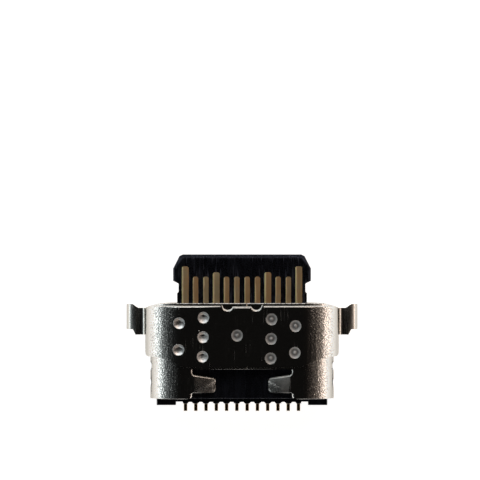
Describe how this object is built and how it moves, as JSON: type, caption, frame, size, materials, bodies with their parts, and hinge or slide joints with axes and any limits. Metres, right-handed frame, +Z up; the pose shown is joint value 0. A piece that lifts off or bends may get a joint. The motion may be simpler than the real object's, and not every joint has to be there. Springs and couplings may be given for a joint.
{
  "type": "charging port connector",
  "caption": "Reversible charging port socket for a board cut-out: folded steel shell with welded cover and solder legs, a bare plug tongue and gold contacts with solder tails.",
  "frame": {"origin": "under the middle of the part's box, on the plane of the shell's flat underside", "axes": "+Z up, away from the board's far side, towards the welded cover; the plug mouth and tongue face -Y; X runs along the rows of contacts"},
  "size_m": [0.0112, 0.0076, 0.0034],
  "materials": {
    "shell_steel": "satin nickel plate",
    "cover_steel": "satin nickel plate",
    "plate_steel": "satin",
    "black_plastic": "moulded matte",
    "contact_gold": "satin gold plate"
  },
  "bodies": {
    "root": {"inner_shell": "shell_steel", "outer_cover": "cover_steel", "mid_plate": "plate_steel", "upper_ground_plate": "plate_steel", "lower_ground_plate": "plate_steel", "tongue": "black_plastic", "housing": "black_plastic", "upper_wafer": "black_plastic", "lower_wafer": "black_plastic", "upper_contact_1": "contact_gold", "upper_contact_2": "contact_gold", "upper_contact_3": "contact_gold", "upper_contact_4": "contact_gold", "upper_contact_5": "contact_gold", "upper_contact_6": "contact_gold", "upper_contact_7": "contact_gold", "upper_contact_8": "contact_gold", "upper_contact_9": "contact_gold", "upper_contact_10": "contact_gold", "upper_contact_11": "contact_gold", "upper_contact_12": "contact_gold", "lower_contact_1": "contact_gold", "lower_contact_2": "contact_gold", "lower_contact_3": "contact_gold", "lower_contact_4": "contact_gold", "lower_contact_5": "contact_gold", "lower_contact_6": "contact_gold", "lower_contact_7": "contact_gold", "lower_contact_8": "contact_gold", "lower_contact_9": "contact_gold", "lower_contact_10": "contact_gold", "lower_contact_11": "contact_gold", "lower_contact_12": "contact_gold"}
  },
  "joints": []
}
